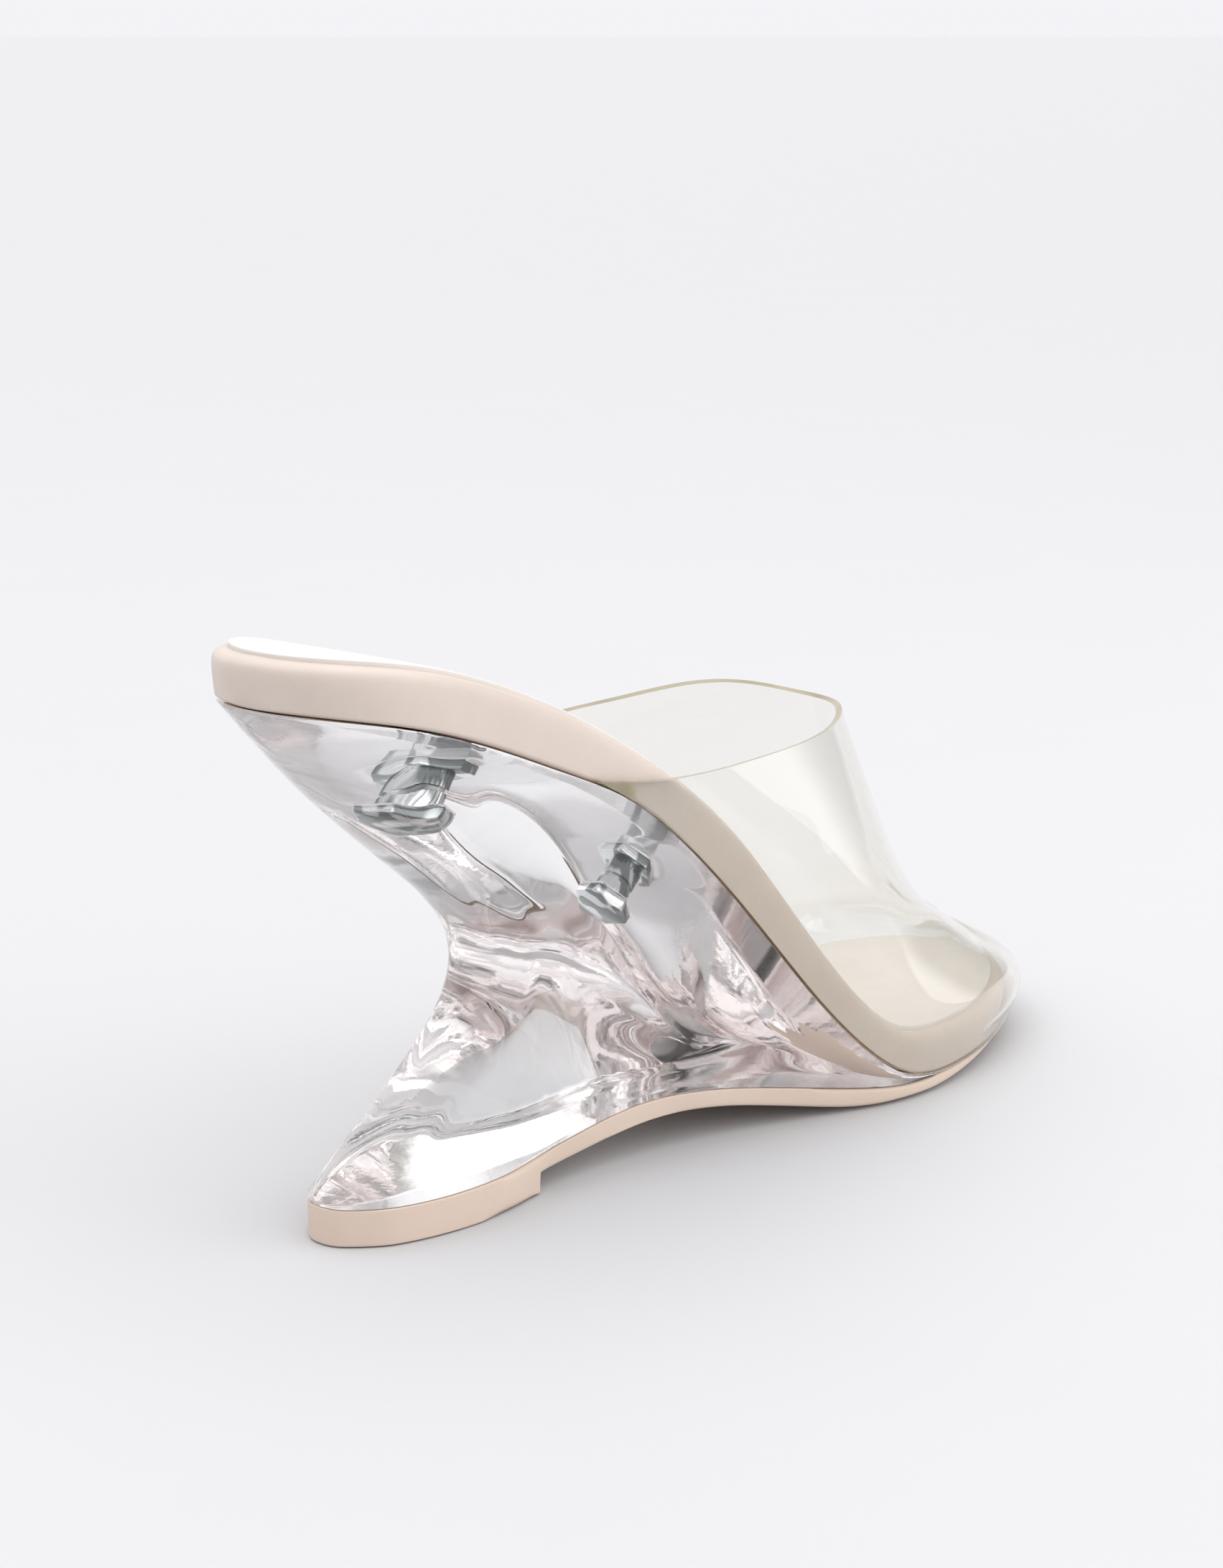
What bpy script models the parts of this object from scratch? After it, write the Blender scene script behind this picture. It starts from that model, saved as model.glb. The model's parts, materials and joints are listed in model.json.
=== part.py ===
"""Closed-toe clear mule on a clear sculpted wedge, built as named closed solids.

Sizes are millimetres in the heel frame: x runs from the back of the heel pad (0)
to the toe, y from the lateral side (minus) to the medial side (plus), z up from
the floor. Every table is a list of shares of the named sizes above it. The whole
shoe is moved at the end so that its footprint centre is the origin.
"""

import math

import bmesh
import bpy
import numpy as np
from mathutils import Matrix

MM = 0.001

# named sizes
LENGTH = 220.0        # footbed, back of the heel seat to the toe tip, along x
OVERHANG = 13.9       # heel seat behind the back of the heel pad
SEAT = 98.0           # underside of the footbed above the floor at the heel pad's back
HALF = 34.0           # half of the forefoot's width
PAD_LENGTH = 44.6     # heel pad, its back to the step
PAD_TOP = 7.3         # outsole's upper face over the heel pad
WEDGE_TIP = 142.0     # where the wedge runs out under the ball
WALL = 1.3            # vinyl
AIR = 0.25            # vinyl to footbed
FAN_X = 1.0409        # the vamp's sections fan out from a line here, share of LENGTH
FAN_Z = 1.2755        # and here, share of SEAT
BULGE = 3.6           # toe box beyond the line where the vamp meets the sole
TOE_DROP = 2.6        # how much lower the toe box's side wall ends than the footbed's edge
BOND = 0.06           # glue line between stacked layers
SOCK = 0.8            # insole's thickness
SOCK_MARGIN = 3.0     # insole's edge inside the footbed's outline
LEDGE = 1.0           # footbed's crown above its side's top edge
VAMP_LIFT = 0.2       # vamp's lower edge above the footbed's underside
WEDGE_TRIM = 0.4      # wedge inside the outsole's edge
THIN_EDGE = 0.35      # wedge's thickness where it runs out under the ball
INSERT_SINK = 0.12    # insert's top below the wedge's top
PROUD = 1.5           # how far the pocket's tool stands out of the wedge

# stretches along x, as shares of LENGTH
END_SPAN = 0.1        # stations are drawn together over this stretch at each end
STEP = 0.02           # and this far apart between
SOCK_END_SPAN = 0.090909
SOCK_STEP = 0.020909
PAD_END_SPAN = 0.040909   # the heel pad's tighter curve
LEAN_SPAN = 0.118182      # the heel seat's back leans over this stretch
SWELL_FROM = 0.517727     # the toe box starts to stand out here
SINK_FROM = 0.599545      # the vamp's side wall starts to end lower here
SINK_SPAN = 0.281818      # and reaches its lowest after this
MOUTH_FROM = 0.217727     # the topline is looked for from here
MOUTH_STOP = 0.090909     # to this far behind the toe
GROW_SPAN = (0.254091, 0.290455)  # the wedge's top passes from inside to outside the footbed

# how many rows and columns the curved walls are built of
WEDGE_ROW_COUNT = 25
INSERT_SIDE_COUNT = 24
VAMP_ROW_COUNT = 26
VAMP_WALL_COUNT = 3
VAMP_DOME_COUNT = 28

# footbed outline: share of LENGTH from the heel's back, shares of HALF each side
FOOT_OUTLINE = (
    # x, lateral, medial
    (0.0000, 0.000, 0.000),
    (0.0036, 0.168, 0.168),
    (0.0125, 0.310, 0.310),
    (0.0264, 0.445, 0.445),
    (0.0464, 0.562, 0.562),
    (0.0727, 0.647, 0.645),
    (0.1073, 0.693, 0.688),
    (0.1700, 0.706, 0.690),
    (0.2341, 0.692, 0.655),
    (0.3109, 0.677, 0.612),
    (0.3836, 0.684, 0.612),
    (0.4564, 0.740, 0.675),
    (0.5245, 0.824, 0.790),
    (0.5845, 0.903, 0.910),
    (0.6405, 0.957, 1.010),
    (0.6905, 0.977, 1.062),
    (0.7359, 0.968, 1.062),
    (0.7814, 0.932, 1.020),
    (0.8268, 0.855, 0.935),
    (0.8723, 0.742, 0.815),
    (0.9132, 0.600, 0.675),
    (0.9495, 0.415, 0.520),
    (0.9768, 0.205, 0.360),
    (0.9941, -0.010, 0.205),
    (1.0000, -0.110, 0.110),
)

# outsole outline in front of the pad and the pad itself, same columns
SOLE_OUTLINE = (
    # x, lateral, medial
    (0.0632, 0.000, 0.000),
    (0.0655, 0.088, 0.088),
    (0.0736, 0.159, 0.159),
    (0.0936, 0.282, 0.282),
    (0.1209, 0.359, 0.359),
    (0.1536, 0.409, 0.409),
    (0.1918, 0.432, 0.432),
    (0.2373, 0.415, 0.415),
    (0.2659, 0.376, 0.374),
    (0.3195, 0.362, 0.350),
    (0.3836, 0.409, 0.380),
    (0.4477, 0.506, 0.470),
    (0.5118, 0.629, 0.610),
    (0.5677, 0.757, 0.765),
    (0.6186, 0.885, 0.915),
    (0.6541, 0.967, 1.010),
    (0.6859, 1.000, 1.068),
    (0.7223, 1.006, 1.090),
    (0.7586, 0.985, 1.078),
    (0.8000, 0.925, 1.015),
    (0.8450, 0.832, 0.915),
    (0.8814, 0.740, 0.812),
    (0.9177, 0.610, 0.680),
    (0.9527, 0.425, 0.530),
    (0.9818, 0.205, 0.355),
    (0.9990, -0.010, 0.205),
    (1.0045, -0.110, 0.110),
)

# heights along the shoe: share of LENGTH, shares of SEAT
PROFILE = (
    # x, footbed underside, footbed side's top edge
    (0.0000, 1.0110, 1.0960),
    (0.0632, 0.9860, 1.0810),
    (0.1541, 0.9224, 1.0245),
    (0.2450, 0.8408, 0.9429),
    (0.3359, 0.7439, 0.8378),
    (0.4041, 0.6245, 0.7378),
    (0.4723, 0.4663, 0.5990),
    (0.5405, 0.2867, 0.4092),
    (0.6086, 0.1378, 0.2337),
    (0.6618, 0.0622, 0.1439),
    (0.7000, 0.0400, 0.1215),
    (0.7450, 0.0362, 0.1150),
    (0.8359, 0.0439, 0.1122),
    (0.9268, 0.0561, 0.1184),
    (1.0000, 0.0745, 0.1286),
)

# thin sole: share of LENGTH, millimetre heights of its two faces as shares of PAD_TOP
SOLE_PROFILE = (
    # x, underside, upper face
    (0.0000, 0.534, 1.000),
    (0.2450, 0.534, 1.000),
    (0.2886, 0.575, 1.070),
    (0.3341, 0.700, 1.247),
    (0.3741, 0.865, 1.425),
    (0.4123, 0.973, 1.507),
    (0.4468, 0.959, 1.466),
    (0.4832, 0.850, 1.356),
    (0.5186, 0.660, 1.178),
    (0.5655, 0.340, 0.918),
    (0.5995, 0.110, 0.730),
    (0.6268, 0.000, 0.603),
    (0.6586, 0.000, 0.493),
    (0.7000, 0.000, 0.452),
    (0.7132, 0.012, 0.458),
    (0.7541, 0.120, 0.493),
    (0.8000, 0.205, 0.548),
    (0.8359, 0.274, 0.589),
    (0.9086, 0.438, 0.712),
    (1.0100, 0.760, 1.000),
)

# wedge's back: shares of LENGTH and of SEAT, from the pad's top up to the heel seat
BACK = (
    # x, z
    (0.0632, 0.0745),
    (0.0882, 0.1122),
    (0.1195, 0.1592),
    (0.1510, 0.2041),
    (0.1875, 0.2622),
    (0.2140, 0.3061),
    (0.2360, 0.3520),
    (0.2470, 0.3878),
    (0.2525, 0.4286),
    (0.2520, 0.4643),
    (0.2465, 0.5000),
    (0.2370, 0.5306),
    (0.2245, 0.5633),
    (0.1865, 0.6347),
    (0.1500, 0.7010),
    (0.1135, 0.7673),
    (0.0790, 0.8347),
    (0.0465, 0.9061),
    (0.0205, 0.9650),
    (0.0030, 1.0110),
)

# vamp's ridge line: share of LENGTH, height as a share of SEAT, place across the width
RIDGE = (
    # x, height, across
    (0.6550, 1.1500, 0.530),
    (0.6930, 0.9800, 0.530),
    (0.7325, 0.8060, 0.535),
    (0.7520, 0.7000, 0.540),
    (0.7690, 0.5800, 0.545),
    (0.7920, 0.4650, 0.545),
    (0.8260, 0.3650, 0.540),
    (0.8750, 0.2800, 0.525),
    (0.9250, 0.2140, 0.510),
    (0.9700, 0.1660, 0.500),
    (0.9950, 0.1440, 0.500),
    (1.0250, 0.1130, 0.500),
)

# topline: share of LENGTH, heights of its two sides as shares of SEAT
TOPLINE = (
    # x, lateral, medial
    (0.2300, 0.8600, 0.8500),
    (0.2650, 0.8150, 0.8270),
    (0.2786, 0.8110, 0.8220),
    (0.3132, 0.7975, 0.8170),
    (0.3450, 0.7870, 0.8140),
    (0.3836, 0.7776, 0.8120),
    (0.4359, 0.7735, 0.8120),
    (0.4859, 0.7740, 0.8170),
    (0.5359, 0.7730, 0.8200),
    (0.5859, 0.7710, 0.8290),
    (0.6405, 0.7700, 0.8380),
    (0.7000, 0.7720, 0.8230),
    (0.7400, 0.7720, 0.7900),
)

# threaded insert: radii and depths below its top face
INSERT_FLATS = 12.6
INSERT_BORE = 2.5
INSERT_DEPTH = 10.4
INSERT_RINGS = (
    # depth share of INSERT_DEPTH, radius share of INSERT_FLATS / 2, six-sided
    (0.000, 1.000, True),
    (0.150, 1.000, True),
    (0.150, 0.683, False),
    (0.430, 0.683, False),
    (0.465, 0.580, False),
    (0.535, 0.580, False),
    (0.570, 0.683, False),
    (0.810, 0.683, False),
    (0.810, 1.000, True),
    (1.000, 1.000, True),
)
INSERT_PLACES = (
    # node, x share of LENGTH
    ("insert_rear", 0.1850),
    ("insert_front", 0.4150),
)


# what each piece is made of, by its name up to the first underscore
FINISHES = {
    # colour, roughness, metallic
    "outsole": ((0.80, 0.69, 0.60), 0.55, 0.0),
    "wedge": ((0.93, 0.94, 0.96), 0.04, 0.0),
    "footbed": ((0.82, 0.73, 0.66), 0.42, 0.0),
    "insole": ((0.90, 0.85, 0.80), 0.48, 0.0),
    "upper": ((0.95, 0.95, 0.93), 0.05, 0.0),
    "insert": ((0.72, 0.73, 0.74), 0.20, 1.0),
}
CLEAR = {"wedge", "upper"}
CREASE_ANGLE = math.radians(35.0)


def along(share):
    """Heel-frame x of a share of the footbed's length."""
    return share * LENGTH - OVERHANG


def spline(xs, ys):
    """Natural cubic through the points, as a function."""
    xs, ys = np.asarray(xs, float), np.asarray(ys, float)
    n = len(xs)
    h = np.diff(xs)
    a = np.eye(n)
    b = np.zeros(n)
    for i in range(1, n - 1):
        a[i, i - 1], a[i, i], a[i, i + 1] = h[i - 1], 2 * (h[i - 1] + h[i]), h[i]
        b[i] = 6 * ((ys[i + 1] - ys[i]) / h[i] - (ys[i] - ys[i - 1]) / h[i - 1])
    m = np.linalg.solve(a, b)

    def at(x):
        x = np.clip(np.asarray(x, float), xs[0], xs[-1])
        k = np.clip(np.searchsorted(xs, x) - 1, 0, n - 2)
        d, left, right = h[k], x - xs[k], xs[k + 1] - x
        return (
            m[k] * right**3 / (6 * d)
            + m[k + 1] * left**3 / (6 * d)
            + (ys[k] / d - m[k] * d / 6) * right
            + (ys[k + 1] / d - m[k + 1] * d / 6) * left
        )

    return at


def outline(table, spread=0.0):
    """Closed plan outline of a table: lateral and medial y as functions of x."""
    lateral = [(along(x), -lat * HALF) for x, lat, med in table]
    medial = [(along(x), med * HALF) for x, lat, med in table]
    loop = np.array(lateral + medial[-2:0:-1])
    wrapped = np.concatenate([loop[-4:], loop, loop[:5]])
    t = np.concatenate([[0], np.cumsum(np.linalg.norm(np.diff(wrapped, axis=0), axis=1))])
    fx, fy = spline(t, wrapped[:, 0]), spline(t, wrapped[:, 1])
    fine = np.linspace(t[4], t[4 + len(loop)], 2401)
    p = np.stack([fx(fine), fy(fine)], 1)
    d = np.gradient(p, axis=0)
    d[0] = d[-1] = p[1] - p[-2]
    d /= np.linalg.norm(d, axis=1)[:, None]
    p = p + spread * np.stack([d[:, 1], -d[:, 0]], 1)
    back, tip = p[:, 0].argmin(), p[:, 0].argmax()
    p = np.roll(p[:-1], -back, axis=0)
    tip = p[:, 0].argmax()
    lat, med = p[: tip + 1], np.concatenate([p[tip:], p[:1]])[::-1]
    x0, x1 = p[0, 0], p[tip, 0]

    def sides(x):
        x = np.clip(x, x0, x1)
        return np.interp(x, lat[:, 0], lat[:, 1]), np.interp(x, med[:, 0], med[:, 1])

    return sides, x0, x1


def stations(x0, x1, back, front, step):
    """Stations from x0 to x1, drawn together at the rounded ends."""
    ends = np.linspace(0, math.pi / 2, 8)
    rear = x0 + back * (1 - np.cos(ends))
    fore = x1 - front * (1 - np.cos(ends))
    count = max(2, int(round((fore[-1] - rear[-1]) / step)))
    return np.concatenate([rear, np.linspace(rear[-1], fore[-1], count + 1)[1:-1], fore[::-1]])


PX = [along(r[0]) for r in PROFILE]
under = spline(PX, [r[1] * SEAT for r in PROFILE])
rim = spline(PX, [r[2] * SEAT for r in PROFILE])
SX = [along(r[0]) for r in SOLE_PROFILE]
sole_low = spline(SX, [r[1] * PAD_TOP for r in SOLE_PROFILE])
sole_top = spline(SX, [r[2] * PAD_TOP for r in SOLE_PROFILE])
FAN = np.array([along(FAN_X), FAN_Z * SEAT])
RIDGE_ARMS = [FAN - (along(r[0]), r[1] * SEAT) for r in RIDGE]
RIDGE_TURNS = [math.atan2(arm[1], arm[0]) for arm in RIDGE_ARMS]
ridge_arm = spline(RIDGE_TURNS, [math.hypot(*arm) for arm in RIDGE_ARMS])
ridge_across = spline(RIDGE_TURNS, [r[2] for r in RIDGE])
TX = [along(r[0]) for r in TOPLINE]
top_lateral = spline(TX, [r[1] * SEAT for r in TOPLINE])
top_medial = spline(TX, [r[2] * SEAT for r in TOPLINE])


def seat(x):
    """Footbed's underside, never under the outsole's upper face."""
    return np.maximum(under(x), sole_top(x) + BOND)


def slant(x):
    """How much longer a vertical cut through a layer is than its thickness."""
    return np.sqrt(1 + (rim(x + 0.5) - rim(x - 0.5)) ** 2)


def crown(x):
    """Footbed's upper face above its side's top edge."""
    return rim(x) + LEDGE * slant(x)


class Solid:
    """Vertices and faces of one closed solid."""

    def __init__(self):
        self.verts = []
        self.faces = []

    def ring(self, points):
        start = len(self.verts)
        self.verts.extend(tuple(float(c) for c in p) for p in points)
        return list(range(start, start + len(points)))

    def band(self, a, b):
        n = len(a)
        for i in range(n):
            j = (i + 1) % n
            self.faces.append((a[i], a[j], b[j], b[i]))

    def across(self, ring):
        """Fill a ring whose i-th and minus i-th points lie across from each other."""
        n = len(ring) // 2
        for i in range(n):
            q = [ring[i], ring[i + 1], ring[-(i + 1)], ring[-i] if i else ring[0]]
            self.faces.append(tuple(dict.fromkeys(q)))

    def build(self, name):
        mesh = bpy.data.meshes.new(name)
        mesh.from_pydata([[c * MM for c in v] for v in self.verts], [], self.faces)
        bm = bmesh.new()
        bm.from_mesh(mesh)
        bmesh.ops.recalc_face_normals(bm, faces=bm.faces)
        bm.to_mesh(mesh)
        bm.free()
        ob = bpy.data.objects.new(name, mesh)
        bpy.context.scene.collection.objects.link(ob)
        return ob


def layer_ring(sides, xs, z, inset=0.0, lean=0.0):
    """Loop of an outline at stations xs, lateral side out and medial side back."""
    lat, med = sides(xs)
    lo, hi = xs[0], xs[-1]
    x = xs + inset * (1 - 2 * (xs - lo) / (hi - lo))
    mid = (lat + med) / 2
    half = np.maximum((med - lat) / 2, 1e-9)
    keep = np.clip(1 - inset / np.maximum(half, inset * 1.2), 0, 1)
    yl, ym = mid - half * keep, mid + half * keep
    zz = z(x)
    x = x - lean * np.clip(1 - (xs - lo) / (LEAN_SPAN * LENGTH), 0, 1) ** 2
    pts = [(x[i], yl[i], zz[i]) for i in range(len(xs))]
    pts += [(x[i], ym[i], zz[i]) for i in range(len(xs) - 2, 0, -1)]
    return pts


def slab(name, sides, x0, x1, layers, end_span=END_SPAN, step=STEP):
    """Stack of loops (height, inset, lean of the back), closed across at both ends."""
    xs = stations(x0, x1, end_span * LENGTH, end_span * LENGTH, step * LENGTH)
    s = Solid()
    rings = [s.ring(layer_ring(sides, xs, z, inset, lean)) for z, inset, lean in layers]
    for a, b in zip(rings, rings[1:]):
        s.band(a, b)
    s.across(rings[0])
    s.across(rings[-1])
    return s.build(name)


def make_footbed():
    sides, x0, x1 = outline(FOOT_OUTLINE)
    return slab(
        "footbed", sides, x0, x1,
        (
            (lambda x: seat(x) + BOND, 1.0, 0.0),
            (lambda x: seat(x) + BOND + 0.7 * slant(x), 0.0, 0.1),
            (lambda x: crown(x) - 2.4 * slant(x), 0.0, 1.5),
            (lambda x: crown(x) - 1.1 * slant(x), 0.45, 1.5),
            (lambda x: crown(x) - 0.3 * slant(x), 1.3, 1.3),
            (lambda x: crown(x), 2.6, 1.0),
        ),
    )


def make_insole():
    sides, x0, x1 = outline(FOOT_OUTLINE, -SOCK_MARGIN)
    return slab(
        "insole", sides, x0, x1,
        (
            (lambda x: crown(x) + 3 * BOND * slant(x), 0.0, 1.0),
            (lambda x: crown(x) + (3 * BOND + 0.5 * SOCK) * slant(x), 0.0, 1.0),
            (lambda x: crown(x) + (3 * BOND + SOCK) * slant(x), 0.5, 1.0),
        ),
        end_span=SOCK_END_SPAN, step=SOCK_STEP,
    )


def make_outsole():
    """Thin sole with the heel pad under its back, flat under the ball."""
    sides, x0, x1 = outline(SOLE_OUTLINE)
    front = along(0.0632) + PAD_LENGTH
    xs = stations(x0, x1, PAD_END_SPAN * LENGTH, END_SPAN * LENGTH, STEP * LENGTH)
    k = int(np.abs(xs - front).argmin())
    xs[k] = front
    xs = np.insert(xs, k, front - 0.05)
    lift = np.interp(xs, [along(0.53), along(0.62)], [0.0, 0.9])
    s = Solid()

    def low(x):
        return np.where(np.arange(len(xs)) <= k, 0.0, sole_low(xs))

    def bottom(inset, raise_by):
        pts = layer_ring(sides, xs, lambda x: x * 0, inset)
        z = low(xs) + raise_by
        zz = list(z) + list(z[len(xs) - 2:0:-1])
        return [(p[0], p[1], h) for p, h in zip(pts, zz)]

    rings = [
        s.ring(bottom(3.2, 0.0)),
        s.ring(bottom(0.35, lift * 0.75)),
        s.ring(bottom(0.0, lift + 0.3)),
        s.ring(layer_ring(sides, xs, lambda x: sole_top(x) - 0.25, 0.0)),
        s.ring(layer_ring(sides, xs, sole_top, 0.3)),
    ]
    for a, b in zip(rings, rings[1:]):
        s.band(a, b)
    s.across(rings[0])
    s.across(rings[-1])
    return s.build("outsole")


def make_wedge():
    """Sculpted clear wedge: a hollowed back, sides flaring up to the footbed."""
    foot, fx0, fx1 = outline(FOOT_OUTLINE)
    sole, sx0, sx1 = outline(SOLE_OUTLINE)
    back = np.array([(along(x), z * SEAT) for x, z in BACK])
    t = np.concatenate([[0], np.cumsum(np.linalg.norm(np.diff(back, axis=0), axis=1))])
    t /= t[-1]
    bx, bz = spline(t, back[:, 0]), spline(t, back[:, 1])
    rows = np.linspace(0, 1, WEDGE_ROW_COUNT)
    ends = 1 - np.cos(np.linspace(0, math.pi / 2, 8))
    cols = np.concatenate([ends * 0.155, np.linspace(0.155, 0.8, 16)[1:], np.linspace(0.8, 1.0, 8)[1:]])

    def low(x):
        return sole_top(np.maximum(x, sx0)) + BOND

    def high(x):
        return np.maximum(seat(x) - BOND, low(x) + THIN_EDGE)

    s = Solid()
    grid = {}
    for r, v in enumerate(rows):
        x_back, z_back = float(bx(v)), float(bz(v))
        tau_back = (z_back - low(x_back)) / (high(x_back) - low(x_back))
        tau_back = min(max(float(tau_back), 0.0), 1.0)
        if r == 0:
            tau_back = 0.0
        if r == len(rows) - 1:
            tau_back = 1.0
        for c, p in enumerate(cols):
            x = x_back + (WEDGE_TIP - x_back) * p
            ease = p * p * (3 - 2 * p)
            tau = tau_back + (v - tau_back) * ease
            z = float(low(x) + tau * (high(x) - low(x)))
            xb = sx0 + WEDGE_TRIM + (WEDGE_TIP - sx0 - WEDGE_TRIM) * p
            xt = fx0 + 2 * WEDGE_TRIM + (WEDGE_TIP - fx0 - 2 * WEDGE_TRIM) * p
            bl, bm = sole(xb)
            tl, tm = foot(xt)
            grow = float(np.interp(xt, [along(share) for share in GROW_SPAN], [-0.5, 0.9]))
            mix = v**1.25
            lat = (bl + WEDGE_TRIM) * (1 - mix) + (tl - grow) * mix
            med = (bm - WEDGE_TRIM) * (1 - mix) + (tm + grow) * mix
            if c == 0:
                lat = med = 0.0
            grid[r, c] = ((x, min(lat, -0.01) if c else 0.0, z), (x, max(med, 0.01) if c else 0.0, z))
    lat_id, med_id = {}, {}
    for (r, c), (a, b) in grid.items():
        lat_id[r, c] = s.ring([a])[0]
        med_id[r, c] = lat_id[r, c] if c == 0 else s.ring([b])[0]
    nr, nc = len(rows), len(cols)
    for r in range(nr - 1):
        for c in range(nc - 1):
            for ids, flip in ((lat_id, False), (med_id, True)):
                q = [ids[r, c], ids[r, c + 1], ids[r + 1, c + 1], ids[r + 1, c]]
                s.faces.append(tuple(q[::-1] if flip else q))
    for r in (0, nr - 1):
        for c in range(nc - 1):
            q = [lat_id[r, c], lat_id[r, c + 1], med_id[r, c + 1], med_id[r, c]]
            s.faces.append(tuple(dict.fromkeys(q)))
    for r in range(nr - 1):
        c = nc - 1
        s.faces.append((lat_id[r, c], lat_id[r + 1, c], med_id[r + 1, c], med_id[r, c]))
    return s.build("wedge")


def insert_solid(name, x, proud, bored):
    """Double-flanged insert standing square to the footbed, its top at the wedge's top."""
    slope = float(seat(x + 1) - seat(x - 1)) / 2
    n = np.array([-slope, 0.0, 1.0]) / math.hypot(slope, 1)
    t = np.array([n[2], 0.0, -n[0]])
    b = np.array([0.0, 1.0, 0.0])
    top = np.array([x, 0.0, float(seat(x)) - BOND]) - INSERT_SINK * n
    count = INSERT_SIDE_COUNT
    ang = 2 * math.pi * np.arange(count) / count

    def ring_at(depth, radius, six):
        f = (ang + math.pi / 6) % (math.pi / 3) - math.pi / 6
        r = radius / np.cos(f) if six else np.full(count, radius)
        return [top - n * depth + r[i] * (math.cos(ang[i]) * t + math.sin(ang[i]) * b) for i in range(count)]

    s = Solid()
    rings = []
    for k, (depth, share, six) in enumerate(INSERT_RINGS):
        d = depth * INSERT_DEPTH
        if k == 0:
            d -= proud
        rings.append(s.ring(ring_at(d, share * INSERT_FLATS / 2, six)))
    for a, c in zip(rings, rings[1:]):
        s.band(a, c)
    s.faces.append(tuple(rings[-1]))
    if bored:
        mouth = s.ring(ring_at(0.0, INSERT_BORE, False))
        foot = s.ring(ring_at(INSERT_DEPTH * 0.8, INSERT_BORE, False))
        s.band(rings[0], mouth)
        s.band(mouth, foot)
        s.faces.append(tuple(foot))
    else:
        s.faces.append(tuple(rings[0]))
    return s.build(name)


def cut(target, tool):
    """Take the tool's volume out of the target."""
    m = target.modifiers.new("pocket", "BOOLEAN")
    m.operation, m.solver, m.object = "DIFFERENCE", "EXACT", tool
    bpy.context.view_layer.update()
    deps = bpy.context.evaluated_depsgraph_get()
    mesh = bpy.data.meshes.new_from_object(target.evaluated_get(deps))
    target.modifiers.clear()
    target.data = mesh
    bpy.data.objects.remove(tool, do_unlink=True)


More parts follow.
